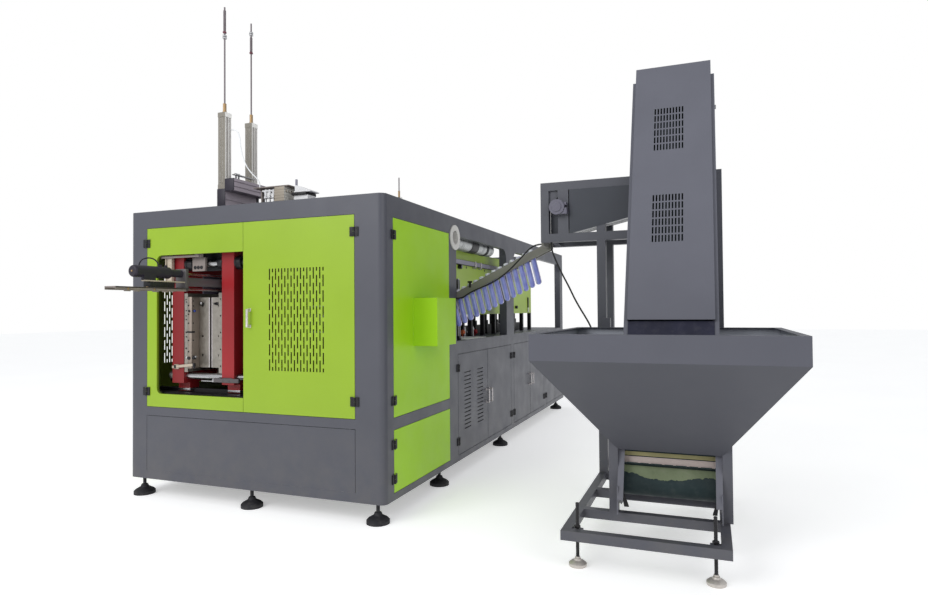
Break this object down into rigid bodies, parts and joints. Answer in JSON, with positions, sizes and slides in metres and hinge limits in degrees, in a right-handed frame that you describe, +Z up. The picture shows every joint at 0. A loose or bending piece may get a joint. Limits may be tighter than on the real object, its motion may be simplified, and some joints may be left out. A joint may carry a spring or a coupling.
{
  "type": "stretch blow moulding machine",
  "caption": "Blow moulding machine for plastic bottles: guarded clamp block, open oven bay, roof stretching unit, and a free-standing preform bin with cleated elevator, roller sorter and chute.",
  "frame": {"origin": "on the floor, centre of the middle front levelling foot of the clamp block", "axes": "+X to the right along the front face, +Y from the front face towards the oven bay's end, +Z up"},
  "size_m": [4.465, 5.964, 3.674],
  "materials": {
    "frame_paint": "semi-gloss",
    "green_paint": "satin",
    "red_paint": "satin",
    "feeder_paint": "satin",
    "rail_grey": "satin",
    "black_metal": "satin",
    "steel": "brushed",
    "mould_steel": "machined",
    "aluminium": "anodised",
    "brass": "polished",
    "galvanised": "foil",
    "foot_rubber": "matt",
    "flap_rubber": "matt",
    "belt_green": "matt",
    "preform_plastic": "clear",
    "cable_black": "matt",
    "hose_white": "gloss"
  },
  "bodies": {
    "machine": {"front_frame": "frame_paint", "rear_frame": "frame_paint", "table_top": "frame_paint", "front_lower_panel": "frame_paint", "left_vent_panel": "green_paint", "rear_panels": "frame_paint", "machine_bed": "black_metal", "stretch_beams": "aluminium", "air_cylinders": "aluminium", "rod_glands": "brass", "valve_block": "aluminium", "blow_head": "aluminium", "takeout_guide": "aluminium", "exhaust_ring": "galvanised", "exhaust_duct": "galvanised", "oven_cover": "green_paint", "oven_frame": "black_metal", "levelling_feet": "foot_rubber", "door_hinges": "black_metal", "chute_rails": "rail_grey", "preforms": "preform_plastic", "feeder_frame": "frame_paint", "feeder_feet": "aluminium", "hopper_bin": "feeder_paint", "elevator_casing": "feeder_paint", "elevator_cover": "feeder_paint", "elevator_flap": "flap_rubber", "elevator_belt": "belt_green", "gear_motor": "black_metal", "sorter_trough": "frame_paint", "sorter_blower": "aluminium", "chute_cable": "cable_black", "feeder_cable": "cable_black", "air_hose": "hose_white"},
    "left_door": {"front_left_door": "green_paint"},
    "right_door": {"front_right_door": "green_paint"},
    "side_door": {"side_upper_door": "green_paint"},
    "side_low_door": {"side_lower_door": "green_paint"},
    "cabinet_1": {"cabinet_door_1": "frame_paint"},
    "cabinet_2": {"cabinet_door_2": "frame_paint"},
    "cabinet_3": {"cabinet_door_3": "frame_paint"},
    "cabinet_4": {"cabinet_door_4": "frame_paint"},
    "cabinet_5": {"cabinet_door_5": "frame_paint"},
    "cabinet_6": {"cabinet_door_6": "frame_paint"},
    "clamp_cage": {"outer_platens": "red_paint", "tie_bars": "steel", "clamp_cylinder": "aluminium", "left_mould": "mould_steel"},
    "clamp_ram": {"inner_platen": "red_paint", "clamp_rod": "steel", "right_mould": "mould_steel"},
    "base_lift": {"base_mould": "mould_steel"},
    "stretching": {"stretch_rods": "black_metal"},
    "transfer": {"transfer_rod": "brass"},
    "takeout": {"takeout_arm": "aluminium", "takeout_motor": "black_metal"},
    "roller_front": {"sorter_roller_front": "steel"},
    "roller_rear": {"sorter_roller_rear": "steel"},
    "drum_low": {"lower_drum": "steel"},
    "drum_high": {"upper_drum": "steel"}
  },
  "joints": [
    {"name": "left_door_hinge", "type": "hinge", "parent": "machine", "child": "left_door", "pos_m": [-0.9015, -0.068, 1.313], "axis": [0, 0, -1], "range_deg": [0, 110]},
    {"name": "right_door_hinge", "type": "hinge", "parent": "machine", "child": "right_door", "pos_m": [0.8575, -0.068, 1.313], "axis": [0, 0, 1], "range_deg": [0, 110]},
    {"name": "side_door_hinge", "type": "hinge", "parent": "machine", "child": "side_door", "pos_m": [1.078, 0.0645, 1.305], "axis": [0, 0, -1], "range_deg": [0, 110]},
    {"name": "side_low_door_hinge", "type": "hinge", "parent": "machine", "child": "side_low_door", "pos_m": [1.078, 0.0645, 0.379], "axis": [0, 0, -1], "range_deg": [0, 110]},
    {"name": "cabinet_1_hinge", "type": "hinge", "parent": "machine", "child": "cabinet_1", "pos_m": [1.078, 1.1835, 0.5845], "axis": [0, 0, -1], "range_deg": [0, 90]},
    {"name": "cabinet_2_hinge", "type": "hinge", "parent": "machine", "child": "cabinet_2", "pos_m": [1.078, 2.6485, 0.5845], "axis": [0, 0, 1], "range_deg": [0, 90]},
    {"name": "cabinet_3_hinge", "type": "hinge", "parent": "machine", "child": "cabinet_3", "pos_m": [1.078, 2.7495, 0.5845], "axis": [0, 0, -1], "range_deg": [0, 90]},
    {"name": "cabinet_4_hinge", "type": "hinge", "parent": "machine", "child": "cabinet_4", "pos_m": [1.078, 4.0125, 0.5845], "axis": [0, 0, 1], "range_deg": [0, 90]},
    {"name": "cabinet_5_hinge", "type": "hinge", "parent": "machine", "child": "cabinet_5", "pos_m": [1.078, 4.1135, 0.5845], "axis": [0, 0, -1], "range_deg": [0, 90]},
    {"name": "cabinet_6_hinge", "type": "hinge", "parent": "machine", "child": "cabinet_6", "pos_m": [1.078, 5.0725, 0.5845], "axis": [0, 0, 1], "range_deg": [0, 90]},
    {"name": "clamp_cage_slide", "type": "slide", "parent": "machine", "child": "clamp_cage", "axis": [-1, 0, 0], "range_m": [-0.0075, 0.11]},
    {"name": "clamp_ram_slide", "type": "slide", "parent": "machine", "child": "clamp_ram", "axis": [1, 0, 0], "range_m": [-0.0075, 0.11]},
    {"name": "base_lift_slide", "type": "slide", "parent": "machine", "child": "base_lift", "axis": [0, 0, 1], "range_m": [-0.06, 0]},
    {"name": "stretching_slide", "type": "slide", "parent": "machine", "child": "stretching", "axis": [0, 0, 1], "range_m": [-0.49, 0]},
    {"name": "transfer_slide", "type": "slide", "parent": "machine", "child": "transfer", "axis": [0, 0, 1], "range_m": [-0.1, 0]},
    {"name": "takeout_slide", "type": "slide", "parent": "machine", "child": "takeout", "axis": [0, 1, 0], "range_m": [0, 0.45]},
    {"name": "roller_front_spin", "type": "hinge", "parent": "machine", "child": "roller_front", "pos_m": [1.9, 1.165, 1.915], "axis": [0.9755, 0, 0.2198], "continuous": true},
    {"name": "roller_rear_spin", "type": "hinge", "parent": "machine", "child": "roller_rear", "pos_m": [1.9, 1.265, 1.915], "axis": [0.9755, 0, 0.2198], "continuous": true},
    {"name": "drum_low_spin", "type": "hinge", "parent": "machine", "child": "drum_low", "pos_m": [2.749, 0.21236, 0.3614], "axis": [1, 0, 0], "continuous": true},
    {"name": "drum_high_spin", "type": "hinge", "parent": "machine", "child": "drum_high", "pos_m": [2.749, 1.21789, 2.76993], "axis": [1, 0, 0], "continuous": true}
  ],
  "couplings": [
    {"joint": "clamp_ram_slide", "follows": "clamp_cage_slide", "ratio": 1},
    {"joint": "roller_rear_spin", "follows": "roller_front_spin", "ratio": -1},
    {"joint": "drum_high_spin", "follows": "drum_low_spin", "ratio": 1}
  ]
}
